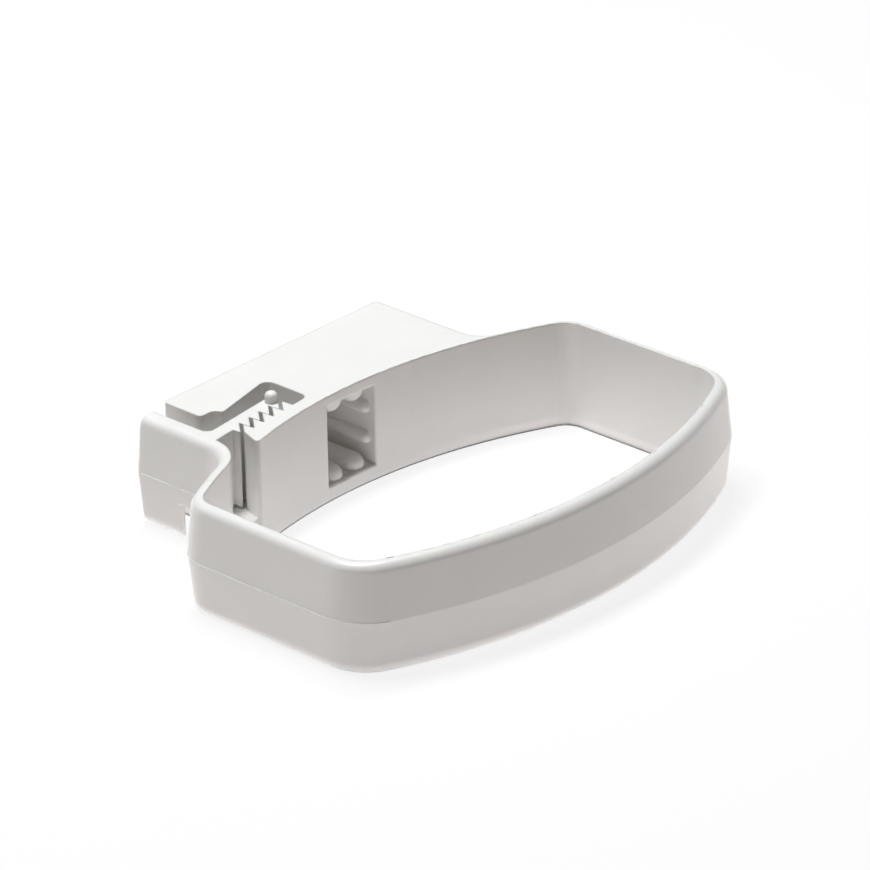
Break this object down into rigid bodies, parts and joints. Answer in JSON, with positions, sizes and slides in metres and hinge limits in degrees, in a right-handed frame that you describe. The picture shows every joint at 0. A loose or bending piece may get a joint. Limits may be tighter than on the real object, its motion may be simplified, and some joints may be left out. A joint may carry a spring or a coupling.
{
  "type": "downpipe bracket",
  "caption": "Moulded plastic wall bracket: a bowed loop holds an oval downpipe, closed by a toothed latch with a thumb tab, on a block with a ribbed screw socket.",
  "frame": {"origin": "middle of the bracket's box, on its lower rim; the pipe's axis is about 8.45 mm in front of it", "axes": "+Z along the pipe, +Y towards the wall, +X along the wall away from the thumb tab"},
  "size_m": [0.0976, 0.0798, 0.0219],
  "materials": {
    "white_pvc": "moulded, semi-gloss"
  },
  "bodies": {
    "root": {"bracket": "white_pvc"}
  },
  "joints": []
}
